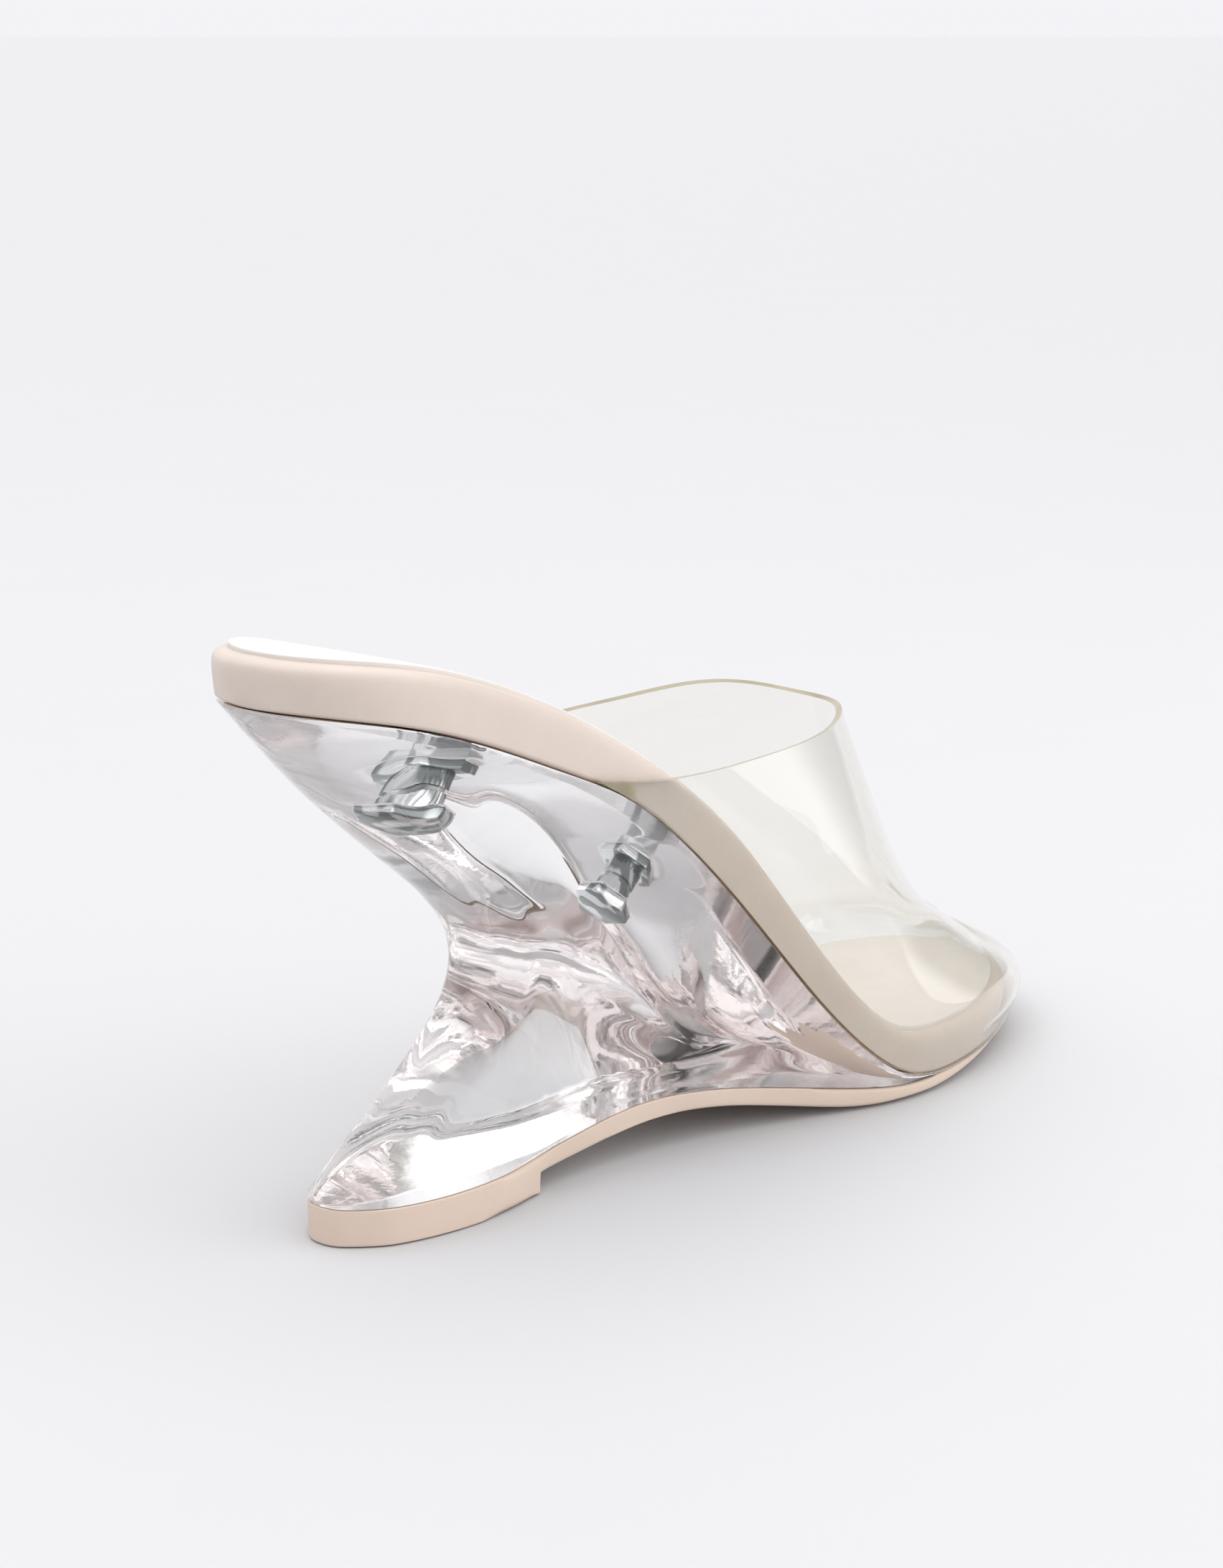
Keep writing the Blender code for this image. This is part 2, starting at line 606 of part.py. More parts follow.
def make_upper():
    """Clear vamp: one wall over the forefoot, open at the topline and along the foot."""
    sides, x0, x1 = outline(FOOT_OUTLINE, AIR + WALL)
    wide, _, wide_x1 = outline(FOOT_OUTLINE, AIR + WALL + BULGE)
    rows, walls, dome = VAMP_ROW_COUNT, VAMP_WALL_COUNT, VAMP_DOME_COUNT
    cols = 2 * walls + dome
    swell = along(SWELL_FROM)

    def edge(x, out):
        """Outline at station x, pushed out by a share of the toe box's bulge."""
        lat, med = (float(v) for v in sides(x))
        reach = float(np.clip((x - swell) / (x1 - swell), 0, 1))
        wx = x + (wide_x1 - x1) * reach**6
        wl, wm = (float(v) for v in wide(wx))
        k = out * reach * reach * (3 - 2 * reach)
        return x + (wx - x) * k, lat + (wl - lat) * k, med + (wm - med) * k

    def place(x, j):
        """Point of meridian j at station x."""
        toe = float(np.clip((x - along(SINK_FROM)) / (SINK_SPAN * LENGTH), 0, 1))
        drop = TOE_DROP * toe * toe * (3 - 2 * toe)
        low, high = float(seat(x)) + VAMP_LIFT * float(slant(x)), float(rim(x)) - drop
        side = min(j, cols - j)
        if side <= walls:
            f = side / walls
            px, lat, med = edge(x, 0.55 * f * f)
            return np.array([px, lat if j <= walls else med, low + (high - low) * f])
        f = math.pi * (j - walls) / dome
        out = 0.55 + 0.45 * min(1.0, 2.2 * math.sin(f)) if math.sin(f) < 0.45 else 1.0
        px, lat, med = edge(x, out)
        arm = FAN - (x, float(rim(x)))
        turn, length = math.atan2(arm[1], arm[0]), math.hypot(*arm)
        n = np.array([arm[0], 0.0, arm[1]]) / length
        ridge = lat + float(ridge_across(turn)) * (med - lat)
        c = math.cos(f)
        reach = math.copysign(abs(c) ** (1.3 - 0.35 * toe), c)
        y = ridge - (ridge - lat) * reach if c > 0 else ridge - (med - ridge) * reach
        h = (length - float(ridge_arm(turn)) + drop) * math.sin(f) ** (1.0 + 0.15 * toe)
        return np.array([px, y, high]) + n * h

    def end(j):
        """Station at which meridian j meets the topline."""
        xs = np.linspace(along(MOUTH_FROM), x1 - MOUTH_STOP * LENGTH, 500)
        pts = np.array([place(x, j) for x in xs])
        f = math.pi * min(max((j - walls) / dome, 0.0), 1.0)
        lat_share = (1 + math.cos(f)) / 2
        line = lat_share * top_lateral(pts[:, 0]) + (1 - lat_share) * top_medial(pts[:, 0])
        over = pts[:, 2] - line
        k = np.where((over[:-1] > 0) & (over[1:] <= 0))[0][-1]
        return float(xs[k] + (xs[k + 1] - xs[k]) * over[k] / (over[k] - over[k + 1]))

    surface = []
    stops = [end(j) for j in range(cols + 1)]
    for i in range(rows + 1):
        share = (i / rows) ** 1.7
        surface.append([place(x1 - (x1 - stops[j]) * share, j) for j in range(cols + 1)])
    middle = (surface[0][0][1] + surface[0][cols][1]) / 2
    for j in range(cols + 1):
        twin = surface[0][min(j, cols - j)]
        surface[0][j] = np.array([twin[0], middle, twin[2]])
    outer = {}
    bm = bmesh.new()
    for i in range(rows + 1):
        for j in range(cols + 1):
            if i == 0 and j > cols // 2:
                outer[i, j] = outer[i, cols - j]
            else:
                outer[i, j] = bm.verts.new(surface[i][j])
    for i in range(rows):
        for j in range(cols):
            q = [outer[i, j], outer[i, j + 1], outer[i + 1, j + 1], outer[i + 1, j]]
            bm.faces.new(tuple(dict.fromkeys(q)))
    bm.normal_update()
    mid = outer[rows // 2, cols // 2]
    out = 1.0 if mid.normal.z > 0 else -1.0
    bm.verts.index_update()
    verts = list(bm.verts)
    inner_points = []
    for v in verts:
        n = v.normal.copy() * out
        inner_points.append(np.array(v.co) - WALL * np.array(n))
    s = Solid()
    top = s.ring([v.co for v in verts])
    under_ids = s.ring(inner_points)
    o = {k: top[v.index] for k, v in outer.items()}
    u = {k: under_ids[v.index] for k, v in outer.items()}
    for i in range(rows):
        for j in range(cols):
            for ids in (o, u):
                q = [ids[i, j], ids[i, j + 1], ids[i + 1, j + 1], ids[i + 1, j]]
                s.faces.append(tuple(dict.fromkeys(q)))
    for j in range(cols):
        s.faces.append((o[rows, j], o[rows, j + 1], u[rows, j + 1], u[rows, j]))
    for i in range(rows):
        for j in (0, cols):
            s.faces.append((o[i, j], o[i + 1, j], u[i + 1, j], u[i, j]))
    bm.free()
    return s.build("upper")


def dress(ob):
    """Give a solid its own material, and shade its rounds smooth between its edges."""
    kind = ob.name.split("_")[0]
    colour, roughness, metallic = FINISHES[kind]
    material = bpy.data.materials.new(ob.name)
    material.use_nodes = True
    material.diffuse_color = (*colour, 1.0)
    shader = material.node_tree.nodes["Principled BSDF"]
    shader.inputs["Base Color"].default_value = (*colour, 1.0)
    shader.inputs["Roughness"].default_value = roughness
    shader.inputs["Metallic"].default_value = metallic
    shader.inputs["Transmission Weight"].default_value = 1.0 if kind in CLEAR else 0.0
    ob.data.materials.clear()
    ob.data.materials.append(material)
    ob.data.shade_smooth()
    ob.data.set_sharp_from_angle(angle=CREASE_ANGLE)


def main():
    """Build every solid, sink the inserts' pockets, centre the shoe and dress it."""
    for ob in list(bpy.data.objects):
        bpy.data.objects.remove(ob, do_unlink=True)
    wedge = make_wedge()
    solids = [make_outsole(), wedge, make_footbed(), make_insole(), make_upper()]
    for name, share in INSERT_PLACES:
        cut(wedge, insert_solid("tool", along(share), PROUD, False))
        solids.append(insert_solid(name, along(share), 0.0, True))
    points = np.array([v.co for ob in solids for v in ob.data.vertices])
    lo, hi = points.min(0), points.max(0)
    shift = Matrix.Translation((-(lo[0] + hi[0]) / 2, -(lo[1] + hi[1]) / 2, -lo[2]))
    for ob in solids:
        ob.data.transform(shift)
        dress(ob)


main()
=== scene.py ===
"""Clear mule on a clear wedge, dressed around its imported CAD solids.

Every length is in metres in the part's own frame: +X to the toe, +Y to the
medial side, +Z up from the floor. Each layer of the shoe is a class that welds
a copy of its CAD solid, rounds and shapes it, and gives it its finish. The two
metal inserts are modelled anew where their CAD solids stand.
"""

from __future__ import annotations

import json
import logging
import math
from dataclasses import dataclass, field, replace
from enum import Enum, IntEnum
from typing import Iterable

import bmesh
import bpy
from mathutils import Matrix, Vector, geometry

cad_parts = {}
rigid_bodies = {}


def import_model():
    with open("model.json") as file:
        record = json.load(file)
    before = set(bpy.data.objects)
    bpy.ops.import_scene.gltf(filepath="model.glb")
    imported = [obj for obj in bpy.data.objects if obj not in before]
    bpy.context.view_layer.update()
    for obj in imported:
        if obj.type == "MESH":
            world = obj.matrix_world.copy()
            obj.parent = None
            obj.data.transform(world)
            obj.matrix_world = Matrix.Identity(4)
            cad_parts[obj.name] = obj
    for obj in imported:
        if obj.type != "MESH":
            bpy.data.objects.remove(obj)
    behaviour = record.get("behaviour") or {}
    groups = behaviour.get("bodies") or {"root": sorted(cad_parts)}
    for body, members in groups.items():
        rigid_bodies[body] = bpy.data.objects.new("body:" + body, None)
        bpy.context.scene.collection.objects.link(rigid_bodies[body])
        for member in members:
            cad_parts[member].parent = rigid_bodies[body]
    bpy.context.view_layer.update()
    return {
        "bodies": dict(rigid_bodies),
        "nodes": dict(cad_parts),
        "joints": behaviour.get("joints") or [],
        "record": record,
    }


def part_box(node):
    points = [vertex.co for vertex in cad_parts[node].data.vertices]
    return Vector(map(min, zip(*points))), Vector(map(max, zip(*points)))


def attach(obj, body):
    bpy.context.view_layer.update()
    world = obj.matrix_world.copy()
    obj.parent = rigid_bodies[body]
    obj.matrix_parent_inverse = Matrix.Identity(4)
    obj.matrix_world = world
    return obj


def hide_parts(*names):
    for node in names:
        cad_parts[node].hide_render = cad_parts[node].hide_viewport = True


LOG = logging.getLogger("wedge_shoe")
MM = 0.001
BODY = "root"
UNDERSIDE = -0.2  # faces whose normal has a lower z look down
NOISE_ROUGHNESS = 0.55
CELL_SMOOTHNESS = 0.6

Colour = tuple[float, float, float]
Triple = tuple[float, float, float]


class Slot(Enum):
    """Material slots of the record; each layer keeps one, but the pieces make their own finishes.
    """

    OUTSOLE = "outsole"
    WEDGE = "clear_wedge"
    FOOTBED = "footbed_leather"
    INSOLE = "insole_leather"
    VINYL = "clear_vinyl"
    INSERT = "insert_steel"


class BlockFace(IntEnum):
    """Kinds of face of the clear block, by material index."""

    POLISHED = 0
    GLUED_TOP = 1
    GLUED_FOOT = 2


class SheetFace(IntEnum):
    """Kinds of face of the vinyl sheet, by material index."""

    CLEAR = 0
    CUT = 1


class NodeBench:
    """Small workbench for one material's or world's shader nodes."""

    def __init__(self, tree: bpy.types.NodeTree) -> None:
        """Clear the tree and start from nothing.

        Args:
            tree: node tree to fill.
        """
        self.tree = tree
        self.tree.nodes.clear()
        self.coords: bpy.types.NodeSocket | None = None

    def add(self, kind: str, **values: object) -> bpy.types.Node:
        """Add a node and set its properties and input sockets.

        Args:
            kind: node type without its ShaderNode prefix.
            values: properties by name, or inputs by name with _ for a space.

        Returns:
            The new node.
        """
        node = self.tree.nodes.new(f"ShaderNode{kind}")
        for key, value in values.items():
            if hasattr(node, key):
                setattr(node, key, value)
            else:
                self.feed(node.inputs[key.replace("_", " ")], value)
        return node

    def feed(self, socket: bpy.types.NodeSocket, value: object) -> None:
        """Link a socket or set its value.

        Args:
            socket: input to feed.
            value: output socket, number or colour.
        """
        if isinstance(value, bpy.types.NodeSocket):
            self.tree.links.new(value, socket)
        elif isinstance(value, tuple) and len(value) == 3 and socket.type == "RGBA":
            socket.default_value = (*value, 1.0)
        else:
            socket.default_value = value

    def place(self) -> bpy.types.NodeSocket:
        """Object coordinates, shared by all of the material's patterns."""
        if self.coords is None:
            self.coords = self.add("TexCoord").outputs["Object"]
        return self.coords

    def stretched(self, scale: Triple) -> bpy.types.NodeSocket:
        """Object coordinates, stretched.

        Args:
            scale: factor along each axis.

        Returns:
            The mapped coordinates.
        """
        node = self.add("Mapping")
        self.feed(node.inputs["Vector"], self.place())
        node.inputs["Scale"].default_value = scale
        return node.outputs[0]

    def noise(
        self, pitch: float, detail: float = 2.0, vector: bpy.types.NodeSocket | None = None
    ) -> bpy.types.NodeSocket:
        """Soft noise whose lumps are about one pitch across.

        Args:
            pitch: size of a lump in metres.
            detail: octaves of finer lumps.
            vector: coordinates, the object's own if left out.

        Returns:
            The noise's value output.
        """
        node = self.add("TexNoise", Scale=1.0 / pitch, Detail=detail, Roughness=NOISE_ROUGHNESS)
        self.feed(node.inputs["Vector"], vector or self.place())
        return node.outputs[0]

    def cells(self, pitch: float) -> bpy.types.NodeSocket:
        """Rounded cells like the pebbles of a grain, one pitch across.

        Args:
            pitch: size of a cell in metres.

        Returns:
            Distance from each cell's middle.
        """
        node = self.add(
            "TexVoronoi", feature="SMOOTH_F1", Scale=1.0 / pitch, Smoothness=CELL_SMOOTHNESS
        )
        self.feed(node.inputs["Vector"], self.place())
        return node.outputs["Distance"]

    def ranged(self, value: bpy.types.NodeSocket, low: float, high: float,
               start: float = 0.3, end: float = 0.7) -> bpy.types.NodeSocket:
        """Carry a pattern's span over to another span.

        Args:
            value: pattern to carry over.
            low: result where the pattern is at start.
            high: result where the pattern is at end.
            start: pattern value that gives low.
            end: pattern value that gives high.

        Returns:
            The remapped value.
        """
        node = self.add("MapRange", interpolation_type="SMOOTHSTEP")
        for index, number in ((1, start), (2, end), (3, low), (4, high)):
            node.inputs[index].default_value = number
        self.feed(node.inputs[0], value)
        return node.outputs[0]

    def maths(self, operation: str, *values: object) -> bpy.types.NodeSocket:
        """Join values with one arithmetic operation."""
        node = self.add("Math", operation=operation)
        for socket, value in zip(node.inputs, values):
            self.feed(socket, value)
        return node.outputs[0]

    def blend(self, share: object, a: object, b: object) -> bpy.types.NodeSocket:
        """Mix two colours.

        Args:
            share: how much of b shows.
            a: first colour.
            b: second colour.

        Returns:
            The mixed colour.
        """
        node = self.add("Mix", data_type="RGBA")
        self.feed(node.inputs[0], share)
        self.feed(node.inputs[6], a)
        self.feed(node.inputs[7], b)
        return node.outputs[2]

    def bump(self, height: bpy.types.NodeSocket, relief: float, strength: float = 1.0,
             under: bpy.types.NodeSocket | None = None) -> bpy.types.NodeSocket:
        """Relief from a height pattern.

        Args:
            height: height pattern between 0 and 1.
            relief: real height of that pattern in metres.
            strength: share of the relief that shows.
            under: normal of a coarser relief below it.

        Returns:
            The bumped normal.
        """
        node = self.add("Bump", Strength=strength, Distance=relief)
        self.feed(node.inputs["Height"], height)
        if under is not None:
            self.feed(node.inputs["Normal"], under)
        return node.outputs[0]

    def surface(
        self, shader: bpy.types.NodeSocket, volume: bpy.types.NodeSocket | None = None
    ) -> None:
        """Connect the finished shader to the material's output.

        Args:
            shader: surface shader.
            volume: volume shader, if any.
        """
        out = self.add("OutputMaterial", Surface=shader)
        if volume is not None:
            self.feed(out.inputs["Volume"], volume)


def new_material(name: str) -> tuple[bpy.types.Material, NodeBench]:
    """Start an empty node material.

    Args:
        name: its name.

    Returns:
        The material and the bench that fills it.
    """
    material = bpy.data.materials.new(name)
    material.use_nodes = True
    return material, NodeBench(material.node_tree)


@dataclass(frozen=True)
class LeatherFinish:
    """Smooth dyed leather with a fine grain and a light wax sheen."""

    name: str
    colour: Colour
    shade: Colour
    grain_pitch: float = 0.55 * MM
    grain_relief: float = 0.035 * MM
    wrinkle_pitch: float = 2.6 * MM
    wrinkle_relief: float = 0.0525 * MM
    relief_strength: float = 0.5
    mottle_pitch: float = 14.0 * MM
    mottle_share: float = 0.55
    pore_pitch: float = 0.275 * MM
    pore_span: tuple[float, float] = (0.55, 0.75)
    pore_share: float = 0.35
    gloss_pitch: float = 3.0 * MM
    roughness: tuple[float, float] = (0.42, 0.56)
    coat: float = 0.08
    coat_roughness: float = 0.35
    sheen: float = 0.05
    sheen_roughness: float = 0.5

    def material(self) -> bpy.types.Material:
        """Make the leather's material."""
        material, bench = new_material(self.name)
        mottle = bench.ranged(bench.noise(self.mottle_pitch, 3.0), 0.0, 1.0)
        pores = bench.ranged(bench.noise(self.pore_pitch, 1.0), 0.0, 1.0, *self.pore_span)
        clouds = bench.maths("MULTIPLY", mottle, self.mottle_share)
        tone = bench.maths("MULTIPLY_ADD", pores, self.pore_share, clouds)
        colour = bench.blend(tone, self.colour, self.shade)
        grain = bench.bump(bench.cells(self.grain_pitch), self.grain_relief, self.relief_strength)
        wrinkle = bench.bump(
            bench.noise(self.wrinkle_pitch), self.wrinkle_relief, self.relief_strength, grain
        )
        shader = bench.add(
            "BsdfPrincipled",
            Base_Color=colour,
            Roughness=bench.ranged(bench.noise(self.gloss_pitch, 3.0), *self.roughness),
            Normal=wrinkle,
        )
        shader.inputs["Coat Weight"].default_value = self.coat
        shader.inputs["Coat Roughness"].default_value = self.coat_roughness
        shader.inputs["Sheen Weight"].default_value = self.sheen
        shader.inputs["Sheen Roughness"].default_value = self.sheen_roughness
        bench.surface(shader.outputs[0])
        return material


@dataclass(frozen=True)
class SoleFinish:
    """Matt moulded sole, faintly speckled, darker in colour towards its foot."""

    name: str = "nude_sole"
    colour: Colour = (0.585, 0.48, 0.40)
    shade: Colour = (0.51, 0.405, 0.33)
    speckle_pitch: float = 0.35 * MM
    speckle_span: tuple[float, float] = (0.52, 0.72)
    speckle_share: float = 0.25
    cloud_pitch: float = 22.0 * MM
    cloud_share: float = 0.3
    foot_darkening_height: float = 0.9 * MM
    foot_darkening_share: float = 0.3
    skin_pitch: float = 0.7 * MM
    skin_relief: float = 0.03 * MM
    skin_strength: float = 0.6
    gloss_pitch: float = 1.6 * MM
    roughness: tuple[float, float] = (0.5, 0.64)
    specular: float = 0.4

    def material(self) -> bpy.types.Material:
        """Make the sole's material."""
        material, bench = new_material(self.name)
        speckle = bench.ranged(bench.noise(self.speckle_pitch), 0.0, 1.0, *self.speckle_span)
        cloud = bench.ranged(bench.noise(self.cloud_pitch), 0.0, 1.0)
        height = bench.add("SeparateXYZ", Vector=bench.place()).outputs["Z"]
        # The sole's colour turns darker over its lowest 0.9 mm, towards the floor.
        foot_darkening = bench.ranged(height, self.foot_darkening_share, 0.0, 0.0, self.foot_darkening_height)
        clouds = bench.maths("MULTIPLY", cloud, self.cloud_share)
        tone = bench.maths("MULTIPLY_ADD", speckle, self.speckle_share, clouds)
        colour = bench.blend(bench.maths("ADD", tone, foot_darkening), self.colour, self.shade)
        skin = bench.bump(bench.noise(self.skin_pitch, 3.0), self.skin_relief, self.skin_strength)
        shader = bench.add(
            "BsdfPrincipled",
            Base_Color=colour,
            Roughness=bench.ranged(bench.noise(self.gloss_pitch), *self.roughness),
            Normal=skin,
        )
        shader.inputs["Specular IOR Level"].default_value = self.specular
        bench.surface(shader.outputs[0])
        return material


@dataclass(frozen=True)
class ClearFinish:
    """Clear plastic that refracts what is behind it and lets lamps through."""

    name: str
    tint: Colour
    ior: float
    roughness: float
    lamp_tint: Colour
    ripple_pitch: float
    ripple_relief: float
    depth_tint: Colour | None = None
    depth_density: float = 0.0

    def material(self) -> bpy.types.Material:
        """Make the clear material."""
        material, bench = new_material(self.name)
        ripple = bench.bump(bench.noise(self.ripple_pitch, 1.0), self.ripple_relief)
        shader = bench.add("BsdfPrincipled", Base_Color=self.tint, Normal=ripple)
        shader.inputs["Roughness"].default_value = self.roughness
        shader.inputs["IOR"].default_value = self.ior
        shader.inputs["Transmission Weight"].default_value = 1.0
        through = bench.add("BsdfTransparent", Color=self.lamp_tint)
        mixed = bench.add("MixShader")
        bench.feed(mixed.inputs[0], bench.add("LightPath").outputs["Is Shadow Ray"])
        bench.feed(mixed.inputs[1], shader.outputs[0])
        bench.feed(mixed.inputs[2], through.outputs[0])
        volume = None
        if self.depth_tint is not None:
            depth = bench.add("VolumeAbsorption", Color=self.depth_tint, Density=self.depth_density)
            volume = depth.outputs[0]
        bench.surface(mixed.outputs[0], volume)
        return material


@dataclass(frozen=True)
class CutEdgeFinish:
    """Cut edge of clear sheet, where light that runs along the sheet comes out tinted."""

    name: str = "vinyl_cut_edge"
    tint: Colour = (0.44, 0.385, 0.25)
    darkest: float = 0.78
    cloud_pitch: float = 9.0 * MM
    saw_pitch: float = 0.5 * MM
    saw_relief: float = 0.02 * MM
    saw_strength: float = 0.6
    roughness: float = 0.28
    ior: float = 1.5
    clearness: float = 0.45

    def material(self) -> bpy.types.Material:
        """Make the cut edge's material."""
        material, bench = new_material(self.name)
        saw = bench.bump(bench.noise(self.saw_pitch), self.saw_relief, self.saw_strength)
        clouds = bench.ranged(bench.noise(self.cloud_pitch), 0.0, 1.0)
        colour = bench.blend(clouds, self.tint, tuple(c * self.darkest for c in self.tint))
        shader = bench.add("BsdfPrincipled", Base_Color=colour, Normal=saw)
        shader.inputs["Roughness"].default_value = self.roughness
        shader.inputs["IOR"].default_value = self.ior
        shader.inputs["Transmission Weight"].default_value = self.clearness
        bench.surface(shader.outputs[0])
        return material


@dataclass(frozen=True)
class BondFinish:
    """Glued face of the clear block: nearly a mirror from inside, matt from outside.

    Round each pad, a place in the part's frame, it mirrors less.
    """

    name: str
    colour: Colour
    shade: Colour
    outside: Colour = (0.62, 0.50, 0.42)
    mirror: float = 0.97
    roughness: float = 0.05
    pads: tuple[Triple, ...] = ()
    pad_radius: float = 20.0 * MM
    pad_fade: float = 1.35
    pad_mirror: float = 0.30
    glue_pitch: float = 7.0 * MM
    glue_span: tuple[float, float] = (0.35, 0.7)
    glue_share: float = 0.7
    speck_pitch: float = 0.6 * MM
    speck_span: tuple[float, float] = (0.62, 0.75)
    speck_share: float = 0.4
    relief: float = 0.05 * MM
    relief_strength: float = 0.5

    def material(self) -> bpy.types.Material:
        """Make the bonded face's material."""
        material, bench = new_material(self.name)
        glue = bench.ranged(bench.noise(self.glue_pitch, 4.0), 0.0, 1.0, *self.glue_span)
        specks = bench.ranged(bench.noise(self.speck_pitch, 1.0), 0.0, 1.0, *self.speck_span)
        clouds = bench.maths("MULTIPLY", glue, self.glue_share)
        tone = bench.maths("MULTIPLY_ADD", specks, self.speck_share, clouds)
        layer = bench.blend(tone, self.colour, self.shade)
        inside = bench.add("NewGeometry").outputs["Backfacing"]
        shader = bench.add(
            "BsdfPrincipled",
            Base_Color=bench.blend(inside, self.outside, layer),
            Normal=bench.bump(glue, self.relief, self.relief_strength),
        )
        shader.inputs["Roughness"].default_value = self.roughness
        share = bench.maths("MULTIPLY", inside, self.mirror)
        for pad in self.pads:
            gap = bench.add("VectorMath", operation="DISTANCE")
            bench.feed(gap.inputs[0], bench.place())
            gap.inputs[1].default_value = pad
            away = bench.ranged(
                gap.outputs["Value"], self.pad_mirror, 1.0,
                self.pad_radius, self.pad_radius * self.pad_fade,
            )
            share = bench.maths("MULTIPLY", share, away)
        bench.feed(shader.inputs["Metallic"], share)
        bench.surface(shader.outputs[0])
        return material


@dataclass(frozen=True)
class PlatedFinish:
    """Bright plated steel with fine turning marks, and light and dark bands painted into its colour
    as reflections.
    """

    name: str = "plated_steel"
    # Light and dark tones of the bands painted into the metal's colour as reflections.
    colour: Colour = (0.74, 0.76, 0.76)
    shade: Colour = (0.24, 0.26, 0.26)
    reflection_band_pitch: float = 3.0 * MM
    reflection_band_stretch: Triple = (1.0, 1.0, 0.22)
    reflection_band_span: tuple[float, float] = (0.44, 0.56)
    mark_pitch: float = 0.25 * MM
    mark_relief: float = 0.006 * MM
    mark_strength: float = 0.5
    roughness: tuple[float, float] = (0.06, 0.16)

    def material(self) -> bpy.types.Material:
        """Make the plated metal's material."""
        material, bench = new_material(self.name)
        marks = bench.noise(self.mark_pitch)
        # Bands stretched along the insert's axis: painted reflections, light and dark, in the
        # metal's colour.
        reflection_streaks = bench.noise(self.reflection_band_pitch, 0.0, bench.stretched(self.reflection_band_stretch))
        painted_reflection_bands = bench.ranged(reflection_streaks, 0.0, 1.0, *self.reflection_band_span)
        shader = bench.add(
            "BsdfPrincipled",
            Base_Color=bench.blend(painted_reflection_bands, self.colour, self.shade),
            Roughness=bench.ranged(marks, *self.roughness),
            Normal=bench.bump(marks, self.mark_relief, self.mark_strength),
        )
        shader.inputs["Metallic"].default_value = 1.0
        bench.surface(shader.outputs[0])
        return material


@dataclass(frozen=True)
class Trough:
    """Soft crease: a line of points that presses or lifts the surface round it.

    Points, push and width are in millimetres.
    """

    points: tuple[Triple, ...]
    push: Triple
    width: float
    fade_power: float = 0.6

    def offset(self, place: Vector) -> Vector:
        """How far the crease moves a point.

        Args:
            place: point in the part's frame, in metres.

        Returns:
            The move, largest on the crease's own line and fading at its ends.
        """
        best, share = math.inf, 0.0
        count = len(self.points) - 1
        for index in range(count):
            a, b = Vector(self.points[index]) * MM, Vector(self.points[index + 1]) * MM
            _, along = geometry.intersect_point_line(place, a, b)
            along = min(max(along, 0.0), 1.0)
            gap = (place - (a + (b - a) * along)).length
            if gap < best:
                best, share = gap, (index + along) / count
        fade = math.sin(math.pi * share) ** self.fade_power
        return Vector(self.push) * MM * fade * math.exp(-((best / (self.width * MM)) ** 2))


@dataclass
class Layer:
    """One layer of the shoe, made from a welded copy of its CAD solid."""

    node: str
    slot: Slot
    weld: float = 0.01 * MM
    edge_angle: float = 42.0
    edge_round: float = 0.0
    levels: int = 2
    join_angle: float = 40.0
    join_shape: float = 80.0

    def welded(self, frame: dict) -> bmesh.types.BMesh:
        """Weld a copy of the CAD solid's loose triangles and join them to quads.


        Returns:
            The welded copy.
        """
        bm = bmesh.new()
        bm.from_mesh(frame["nodes"][self.node].data)
        bmesh.ops.remove_doubles(bm, verts=bm.verts, dist=self.weld)
        bmesh.ops.join_triangles(
            bm, faces=bm.faces, angle_face_threshold=math.radians(self.join_angle),
            angle_shape_threshold=math.radians(self.join_shape), topology_influence=1.0,
        )
        return bm

    def hard_edges(self, bm: bmesh.types.BMesh) -> list[bmesh.types.BMEdge]:
        """Edges where the solid turns by more than the edge angle."""
        limit = math.radians(self.edge_angle)
        return [e for e in bm.edges if len(e.link_faces) == 2 and e.calc_face_angle(0.0) > limit]

    def rounded(self, bm: bmesh.types.BMesh) -> None:
        """Round the hard edges, or crease them when no rounding size is set."""
        if self.edge_round > 0:
            bmesh.ops.bevel(
                bm, geom=self.hard_edges(bm), offset=self.edge_round, offset_type="OFFSET",
                segments=2, profile=0.5, affect="EDGES", clamp_overlap=True, material=-1,
                loop_slide=True,
            )
        else:
            layers = bm.edges.layers.float
            crease = layers.get("crease_edge") or layers.new("crease_edge")
            for edge in self.hard_edges(bm):
                edge[crease] = 1.0

    def finished(
        self, bm: bmesh.types.BMesh, materials: Iterable[bpy.types.Material]
    ) -> bpy.types.Object:
        """Turn the shaped copy into a smooth piece that rides on the shoe.

        Args:
            bm: shaped copy, freed here.
            materials: the piece's materials, by face index.

        Returns:
            The finished piece.
        """
        mesh = bpy.data.meshes.new(f"{self.node}_skin")
        bm.to_mesh(mesh)
        bm.free()
        mesh.shade_smooth()
        for material in materials:
            mesh.materials.append(material)
        piece = bpy.data.objects.new(f"{self.node}_skin", mesh)
        bpy.context.scene.collection.objects.link(piece)
        if self.levels:
            smooth = piece.modifiers.new("smooth", "SUBSURF")
            smooth.levels = smooth.render_levels = self.levels
            smooth.boundary_smooth = "PRESERVE_CORNERS"
        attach(piece, BODY)
        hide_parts(self.node)
        LOG.info("%s: %d faces before smoothing", piece.name, len(mesh.polygons))
        return piece

    def build(self, frame: dict) -> bpy.types.Object:
        """Build the layer.


        Returns:
            The finished piece.
        """
        raise NotImplementedError


